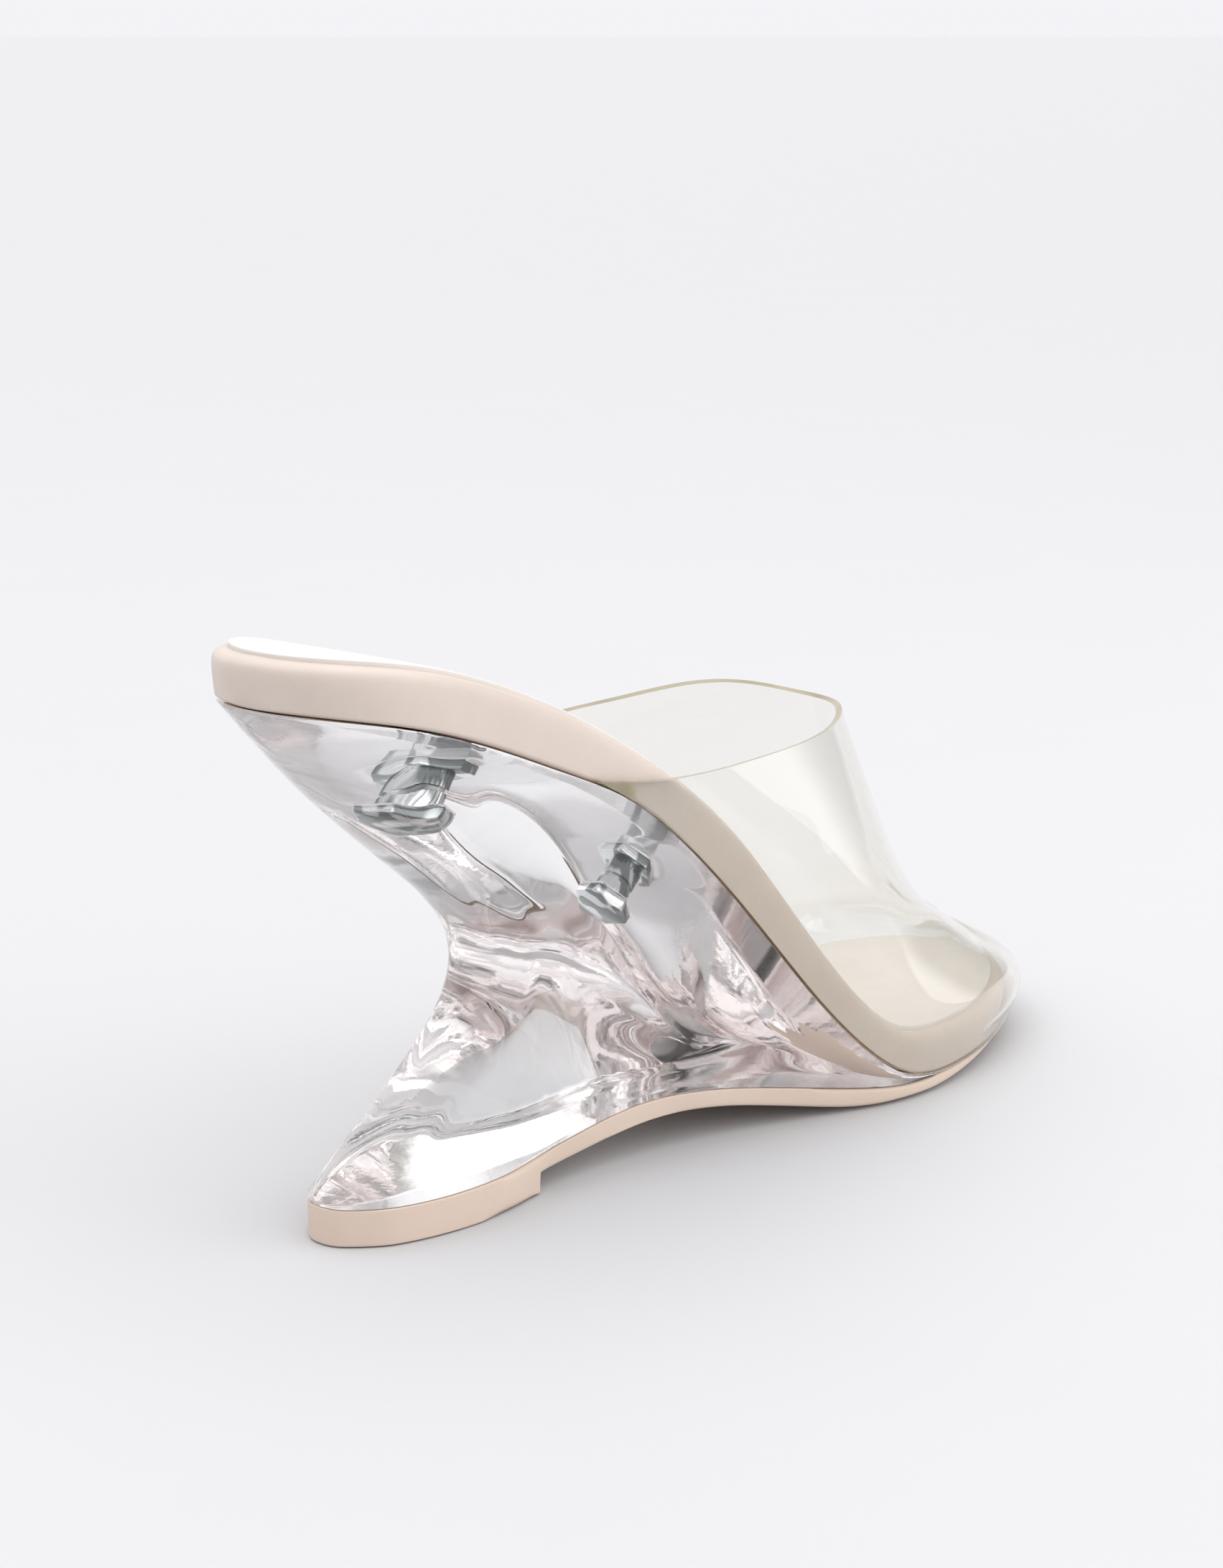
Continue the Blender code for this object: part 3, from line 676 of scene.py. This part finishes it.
@dataclass
class LeatherLayer(Layer):
    """Footbed or insole: leather with rounded edges."""

    finish: LeatherFinish = field(kw_only=True)
    edge_round: float = 0.35 * MM
    bedding: float = 0.0

    def bed_down(self, bm: bmesh.types.BMesh) -> None:
        """Press the layer's underside into the padding below it."""
        bm.normal_update()
        for vert in [v for v in bm.verts if v.normal.z < UNDERSIDE]:
            vert.co.z -= self.bedding

    def build(self, frame: dict) -> bpy.types.Object:
        """Weld, round and dress the leather layer."""
        bm = self.welded(frame)
        self.bed_down(bm)
        self.rounded(bm)
        return self.finished(bm, [self.finish.material()])


@dataclass
class Outsole(Layer):
    """Nude sole with its thick heel pad and crisp step."""

    finish: SoleFinish = SoleFinish()
    edge_round: float = 0.12 * MM
    edge_angle: float = 50.0

    def build(self, frame: dict) -> bpy.types.Object:
        """Weld, round and dress the sole."""
        bm = self.welded(frame)
        self.rounded(bm)
        return self.finished(bm, [self.finish.material()])


@dataclass
class Wedge(Layer):
    """Clear block between the sole and the footbed, glued to both."""

    clear: ClearFinish = ClearFinish(
        "clear_acrylic", (1.0, 1.0, 1.0), 1.29, 0.0, (0.93, 0.92, 0.93),
        ripple_pitch=16.0 * MM, ripple_relief=0.01 * MM,
        depth_tint=(0.93, 0.91, 0.908), depth_density=1.5,
    )
    above: BondFinish = BondFinish(
        "bond_to_footbed", (0.975, 0.962, 0.962), (0.945, 0.928, 0.928)
    )
    below: BondFinish = BondFinish("bond_to_sole", (0.970, 0.957, 0.950), (0.93, 0.908, 0.897))
    floor_band: float = 20.0 * MM
    glued_rise: float = 0.5
    glued_lean: float = 0.6
    back_lean: float = -0.35
    pockets: tuple[str, ...] = ("insert_rear", "insert_front")
    pocket_slack: float = 1.0 * MM
    pad_ahead: float = 3.0 * MM
    pad_below: float = 2.0 * MM
    side_lean: float = 0.62
    evenings: int = 90
    evening: float = 0.5

    def side_of(self, face: bmesh.types.BMFace) -> BlockFace:
        """Tell which finish a face takes.

        Args:
            face: face of the welded block.

        Returns:
            The kind of face.
        """
        n = face.normal
        if abs(n.y) < self.glued_lean:
            if n.z > self.glued_rise and n.x > self.back_lean:
                return BlockFace.GLUED_TOP
            if n.z < -self.glued_rise and face.calc_center_median().z < self.floor_band:
                return BlockFace.GLUED_FOOT
        return BlockFace.POLISHED

    def pad_over(self, node: str) -> Triple:
        """Place near an insert's top, round which the glued top mirrors less.

        Args:
            node: the insert's node.

        Returns:
            The place, to a tenth of a millimetre.
        """
        low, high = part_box(node)
        ahead = (low[0] + high[0]) / 2 + self.pad_ahead
        across = (low[1] + high[1]) / 2
        return round(ahead, 4), round(across, 4), round(high[2] - self.pad_below, 4)

    def even_sides(self, bm: bmesh.types.BMesh) -> None:
        """Even out the polished sides between the glued faces and the rounded back.

        Args:
            bm: welded block, its faces already told apart.
        """
        boxes = [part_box(node) for node in self.pockets]
        slack = self.pocket_slack

        def in_pocket(place: Vector) -> bool:
            """Whether a point is on the wall of an insert's pocket."""
            return any(
                all(lo[i] - slack < place[i] < hi[i] + slack for i in range(3)) for lo, hi in boxes
            )

        sides = [
            v for v in bm.verts
            if abs(v.normal.y) > self.side_lean and not in_pocket(v.co)
            and all(f.material_index == BlockFace.POLISHED for f in v.link_faces)
        ]
        for _ in range(self.evenings):
            bmesh.ops.smooth_vert(
                bm, verts=sides, factor=self.evening,
                use_axis_x=False, use_axis_y=True, use_axis_z=False,
            )
        LOG.info("wedge: %d points of the sides evened", len(sides))

    def build(self, frame: dict) -> bpy.types.Object:
        """Weld and crease the block, and part its polished and glued faces."""
        bm = self.welded(frame)
        bm.normal_update()
        for face in bm.faces:
            face.material_index = self.side_of(face)
        self.even_sides(bm)
        self.rounded(bm)
        above = replace(self.above, pads=tuple(self.pad_over(node) for node in self.pockets))
        return self.finished(
            bm, [self.clear.material(), above.material(), self.below.material()]
        )


@dataclass
class Vamp(Layer):
    """Clear vinyl vamp: one wall, with tinted cut edges and soft creases."""

    clear: ClearFinish = ClearFinish(
        "clear_vinyl", (0.985, 0.985, 0.965), 1.5, 0.015, (0.95, 0.95, 0.93),
        ripple_pitch=22.0 * MM, ripple_relief=0.025 * MM,
        depth_tint=(0.80, 0.73, 0.62), depth_density=55.0,
    )
    cut_edge: CutEdgeFinish = CutEdgeFinish()
    edge_round: float = 0.14 * MM
    edge_angle: float = 55.0
    creases: tuple[Trough, ...] = (
        Trough(
            ((33, -12, 76), (47, -13, 66), (58, -13, 50), (70, -16, 34), (80, -18, 26)),
            (-0.1, 0.45, -0.2), 4.5,
        ),
        Trough(
            ((28, -21, 73), (34, -26, 58), (43, -29, 43), (53, -31, 30)),
            (0.0, -0.35, 0.0), 6.0,
        ),
        Trough(
            ((30, 20, 76), (42, 20, 64), (54, 19, 50), (68, 20, 35)),
            (0.0, -0.4, -0.2), 5.0,
        ),
        Trough(
            ((56, -28, 30), (63, -17, 37), (68, -2, 38), (65, 14, 38), (58, 27, 33)),
            (-0.2, 0.0, -0.5), 4.0,
        ),
        Trough(
            ((74, -27, 22), (80, -14, 26), (82, 0, 27), (80, 14, 26), (74, 27, 23)),
            (-0.1, 0.0, -0.4), 3.5,
        ),
        Trough(
            ((96, -15, 18), (101, -6, 18), (102, 4, 17), (97, 15, 17)),
            (0.0, 0.0, 0.35), 3.0,
        ),
    )

    def is_edge(self, face: bmesh.types.BMFace) -> bool:
        """Whether a face is part of the sheet's cut edge."""
        limit = math.radians(self.edge_angle)
        turned = [
            e for e in face.edges if len(e.link_faces) == 2 and e.calc_face_angle(0.0) > limit
        ]
        return len(turned) >= 2

    def build(self, frame: dict) -> bpy.types.Object:
        """Weld the sheet, part its cut edges, crease it softly and dress it."""
        bm = self.welded(frame)
        bm.normal_update()
        for face in bm.faces:
            cut = face.normal.z > UNDERSIDE and self.is_edge(face)
            face.material_index = SheetFace.CUT if cut else SheetFace.CLEAR
        self.rounded(bm)
        for vert in bm.verts:
            for crease in self.creases:
                vert.co += crease.offset(vert.co)
        return self.finished(bm, [self.clear.material(), self.cut_edge.material()])


@dataclass
class ThreadedInsert:
    """Metal insert sunk in the block: a grooved, knurled barrel between two six-sided flanges."""

    node: str
    finish: PlatedFinish
    flats: float = 12.6 * MM
    length: float = 10.4 * MM
    sides: int = 6
    flange: float = 0.15
    barrel: float = 0.683
    groove: float = 0.58
    groove_span: tuple[float, float] = (0.45, 0.55)
    overlap: float = 0.3 * MM
    knurls: int = 36
    knurl_depth: float = 0.10 * MM
    rim: float = 0.12 * MM
    rim_depth: float = 0.08 * MM
    proud: float = 0.03 * MM
    chamfer: float = 0.098 * MM
    sharp_angle: float = 32.0
    foot_lean: float = -0.3

    def stand(self, frame: dict) -> Matrix:
        """Where the insert stands, read from its CAD solid.


        Returns:
            The place of its foot's middle, with Z up its axis.
        """
        mesh = frame["nodes"][self.node].data
        mesh.calc_loop_triangles()
        facing: dict[tuple[float, ...], tuple[float, Vector]] = {}
        for tri in mesh.loop_triangles:
            if tri.normal.z < self.foot_lean:
                key = tuple(round(c, 2) for c in tri.normal)
                area, normal = facing.get(key, (0.0, Vector()))
                facing[key] = area + tri.area, normal + tri.normal * tri.area
        _, normal = max(facing.values(), key=lambda entry: entry[0])
        axis = -normal.normalized()
        side = Vector((0, 1, 0))
        ahead = side.cross(axis).normalized()
        turn = Matrix((ahead, side, axis)).transposed().to_4x4()
        low = min(mesh.vertices, key=lambda v: v.co.dot(axis)).co
        middle = vertex_middle(mesh)
        middle += axis * ((low - middle).dot(axis))
        return Matrix.Translation(middle) @ turn

    def plate(self, bm: bmesh.types.BMesh, low: float, high: float) -> None:
        """Six-sided flange with chamfered rims.

        Args:
            bm: mesh to add to.
            low: height of its lower face.
            high: height of its upper face.
        """
        corner = (self.flats / 2 + self.proud) / math.cos(math.pi / self.sides)
        made = bmesh.ops.create_cone(
            bm, cap_ends=True, cap_tris=False, segments=self.sides,
            radius1=corner, radius2=corner, depth=high - low,
        )
        bmesh.ops.translate(bm, verts=made["verts"], vec=(0, 0, (low + high) / 2))
        rims = dict.fromkeys(e for v in made["verts"] for e in v.link_edges)
        bmesh.ops.bevel(
            bm, geom=list(rims), offset=self.chamfer, offset_type="OFFSET", segments=2,
            profile=0.5, affect="EDGES", clamp_overlap=True, material=-1,
        )

    def barrel_band(
        self, bm: bmesh.types.BMesh, low: float, high: float, radius: float, knurled: bool
    ) -> None:
        """Round band of the barrel, knurled along its axis if asked.

        Args:
            bm: mesh to add to.
            low: height of its lower end.
            high: height of its upper end.
            radius: its radius.
            knurled: whether it carries the straight knurl.
        """
        made = bmesh.ops.create_cone(
            bm, cap_ends=True, cap_tris=False, segments=self.knurls * 2,
            radius1=radius, radius2=radius, depth=high - low,
        )
        bmesh.ops.translate(bm, verts=made["verts"], vec=(0, 0, (low + high) / 2))
        if knurled:
            for vert in made["verts"]:
                turn = math.atan2(vert.co.y, vert.co.x) / (math.pi / self.knurls)
                if round(turn) % 2:
                    keep = 1.0 - self.knurl_depth / radius
                    vert.co.x *= keep
                    vert.co.y *= keep
            faces = dict.fromkeys(f for v in made["verts"] for f in v.link_faces)
            caps = [f for f in faces if len(f.verts) > 4]
            bmesh.ops.inset_region(bm, faces=caps, thickness=self.rim, depth=self.rim_depth)

    def build(self, frame: dict) -> bpy.types.Object:
        """Build the insert where its CAD solid stands.


        Returns:
            The finished piece.
        """
        bm = bmesh.new()
        radius = self.flats / 2 + self.proud
        thick = self.flange * self.length
        wide = self.barrel * radius + self.proud
        narrow = self.groove * radius + self.proud * 2
        lower, upper = (share * self.length for share in self.groove_span)
        self.plate(bm, -self.proud, thick + self.proud)
        self.plate(bm, self.length - thick - self.proud, self.length)
        self.barrel_band(bm, thick / 2, lower, wide, True)
        self.barrel_band(bm, upper, self.length - thick / 2, wide, True)
        self.barrel_band(bm, lower - self.overlap, upper + self.overlap, narrow, False)
        bm.transform(self.stand(frame))
        mesh = bpy.data.meshes.new(f"{self.node}_metal")
        bm.to_mesh(mesh)
        bm.free()
        mesh.shade_smooth()
        mesh.set_sharp_from_angle(angle=math.radians(self.sharp_angle))
        mesh.materials.append(self.finish.material())
        piece = bpy.data.objects.new(f"{self.node}_metal", mesh)
        bpy.context.scene.collection.objects.link(piece)
        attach(piece, BODY)
        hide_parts(self.node)
        LOG.info("%s: %d faces", piece.name, len(mesh.polygons))
        return piece


def vertex_middle(mesh: bpy.types.Mesh) -> Vector:
    """Middle of a mesh's distinct vertices.

    Args:
        mesh: mesh of a solid that is the same all round its axis.

    Returns:
        A point on that axis.
    """
    unique = {tuple(round(c, 6) for c in v.co) for v in mesh.vertices}
    return sum((Vector(c) for c in unique), Vector()) / len(unique)


@dataclass(frozen=True)
class SkyPanel:
    """Soft bright or dark region of the studio's surroundings."""

    azimuth: float
    elevation: float
    half_width: float
    softness: float
    colour: Colour

    def direction(self) -> Vector:
        """Unit vector towards the panel, azimuth counted from +X to +Y."""
        a, e = math.radians(self.azimuth), math.radians(self.elevation)
        return Vector((math.cos(a) * math.cos(e), math.sin(a) * math.cos(e), math.sin(e)))


@dataclass(frozen=True)
class Softbox:
    """Rectangular light that doesn't show in shiny or clear surfaces."""

    name: str
    place: Triple
    aim: Triple
    size: tuple[float, float]
    power: float

    def hang(self) -> None:
        """Hang the softbox in its place, facing its aim."""
        lamp = bpy.data.lights.new(self.name, "AREA")
        lamp.shape = "RECTANGLE"
        lamp.size, lamp.size_y = self.size
        lamp.energy = self.power
        ob = bpy.data.objects.new(self.name, lamp)
        ob.location = self.place
        ob.rotation_mode = "QUATERNION"
        ob.rotation_quaternion = (Vector(self.aim) - Vector(self.place)).to_track_quat("-Z", "Y")
        ob.visible_glossy = False
        ob.visible_transmission = False
        bpy.context.scene.collection.objects.link(ob)


@dataclass
class Studio:
    """Pale floor, soft light and the photograph's camera.

    Only the camera sees the backdrop. All other rays see the tent and its panels.
    """

    floor_radius: float = 40.0
    floor_sides: int = 128
    floor_drop: float = 0.05 * MM
    floor_colour: Colour = (0.52, 0.52, 0.53)
    floor_darkest: float = 0.995
    floor_cloud_pitch: float = 60.0 * MM
    floor_roughness: float = 0.75
    floor_specular: float = 0.15
    backdrop: Colour = (0.90, 0.90, 0.93)
    horizon: Colour = (0.90, 0.90, 0.93)
    zenith: Colour = (1.15, 1.15, 1.17)
    horizon_span: tuple[float, float] = (0.012, 0.12)
    panels: tuple[SkyPanel, ...] = (
        SkyPanel(0.0, 90.0, 22.0, 34.0, (2.35, 2.35, 2.37)),
        SkyPanel(-140.0, 30.0, 28.0, 26.0, (1.35, 1.33, 1.35)),
        SkyPanel(-52.0, 16.0, 26.0, 30.0, (1.75, 1.74, 1.75)),
        SkyPanel(-2.0, 17.0, 17.0, 12.0, (0.38, 0.38, 0.36)),
    )
    softboxes: tuple[Softbox, ...] = (
        Softbox("key", (-0.35, 0.55, 1.15), (0.0, 0.0, 0.03), (0.9, 0.7), 1.0),
        Softbox("fill", (0.50, -0.70, 0.30), (0.02, 0.0, 0.02), (0.7, 0.5), 2.0),
    )
    bounces: int = 96
    camera_place: Triple = (-0.4905, -0.3983, 0.2124)
    camera_ahead: Triple = (0.7464, 0.6263, -0.2250)
    sensor: float = 36.0
    lens: float = 76.15

    def floor(self) -> bpy.types.Object:
        """Lay the seamless floor."""
        bm = bmesh.new()
        bmesh.ops.create_circle(
            bm, cap_ends=True, segments=self.floor_sides, radius=self.floor_radius
        )
        bmesh.ops.translate(bm, verts=bm.verts, vec=(0, 0, -self.floor_drop))
        mesh = bpy.data.meshes.new("floor")
        bm.to_mesh(mesh)
        bm.free()
        material, bench = new_material("studio_paper")
        clouds = bench.ranged(bench.noise(self.floor_cloud_pitch, 3.0), 0.0, 1.0)
        dark = tuple(c * self.floor_darkest for c in self.floor_colour)
        paper = bench.blend(clouds, self.floor_colour, dark)
        shader = bench.add("BsdfPrincipled", Base_Color=paper)
        shader.inputs["Roughness"].default_value = self.floor_roughness
        shader.inputs["Specular IOR Level"].default_value = self.floor_specular
        bench.surface(shader.outputs[0])
        mesh.materials.append(material)
        floor = bpy.data.objects.new("floor", mesh)
        bpy.context.scene.collection.objects.link(floor)
        return floor

    def surroundings(self) -> None:
        """Fill the world with a soft white tent that has darker and brighter regions."""
        world = bpy.data.worlds.new("studio")
        world.use_nodes = True
        bpy.context.scene.world = world
        bench = NodeBench(world.node_tree)
        toward = bench.add("TexCoord").outputs["Generated"]
        height = bench.add("SeparateXYZ", Vector=toward).outputs["Z"]
        risen = bench.ranged(height, 0.0, 1.0, *self.horizon_span)
        colour = bench.blend(risen, self.horizon, self.zenith)
        for panel in self.panels:
            near = bench.add("VectorMath", operation="DOT_PRODUCT")
            bench.feed(near.inputs[0], toward)
            near.inputs[1].default_value = panel.direction()
            inside = math.cos(math.radians(panel.half_width))
            outside = math.cos(math.radians(panel.half_width + panel.softness))
            share = bench.ranged(near.outputs["Value"], 0.0, 1.0, outside, inside)
            colour = bench.blend(share, colour, panel.colour)
        seen = bench.add("LightPath").outputs["Is Camera Ray"]
        colour = bench.blend(seen, colour, self.backdrop)
        light = bench.add("Background", Color=colour, Strength=1.0)
        bench.add("OutputWorld", Surface=light.outputs[0])

    def camera(self) -> None:
        """Set up the photograph's camera."""
        data = bpy.data.cameras.new("camera")
        data.sensor_width = self.sensor
        data.lens = self.lens
        ob = bpy.data.objects.new("camera", data)
        ob.location = self.camera_place
        ob.rotation_mode = "QUATERNION"
        ob.rotation_quaternion = Vector(self.camera_ahead).to_track_quat("-Z", "Y")
        bpy.context.scene.collection.objects.link(ob)
        bpy.context.scene.camera = ob

    def build(self) -> None:
        """Set up floor, light and camera."""
        scene = bpy.context.scene
        scene.view_settings.view_transform = "Standard"
        scene.cycles.max_bounces = self.bounces
        scene.cycles.transmission_bounces = self.bounces
        scene.cycles.glossy_bounces = self.bounces
        scene.cycles.caustics_refractive = True
        scene.cycles.caustics_reflective = False
        self.floor()
        self.surroundings()
        for softbox in self.softboxes:
            softbox.hang()
        self.camera()
        LOG.info("studio: floor, surroundings, key and fill light, camera")


def main() -> None:
    """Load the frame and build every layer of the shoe."""
    logging.basicConfig(level=logging.INFO, format="%(message)s")
    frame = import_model()
    footbed_leather = LeatherFinish("footbed_leather", (0.55, 0.475, 0.42), (0.505, 0.43, 0.375))
    insole_leather = LeatherFinish(
        "insole_leather", (0.64, 0.605, 0.57), (0.60, 0.555, 0.52), roughness=(0.5, 0.62)
    )
    plated = PlatedFinish()
    Studio().build()
    layers: list[Layer | ThreadedInsert] = [
        Outsole("outsole", Slot.OUTSOLE),
        Wedge("wedge", Slot.WEDGE),
        ThreadedInsert("insert_rear", plated),
        ThreadedInsert("insert_front", plated),
        LeatherLayer("footbed", Slot.FOOTBED, finish=footbed_leather, bedding=0.03 * MM),
        LeatherLayer(
            "insole", Slot.INSOLE, finish=insole_leather, edge_round=0.1 * MM, bedding=0.5 * MM
        ),
        Vamp("upper", Slot.VINYL),
    ]
    for layer in layers:
        layer.build(frame)


if __name__ == "__main__":
    main()
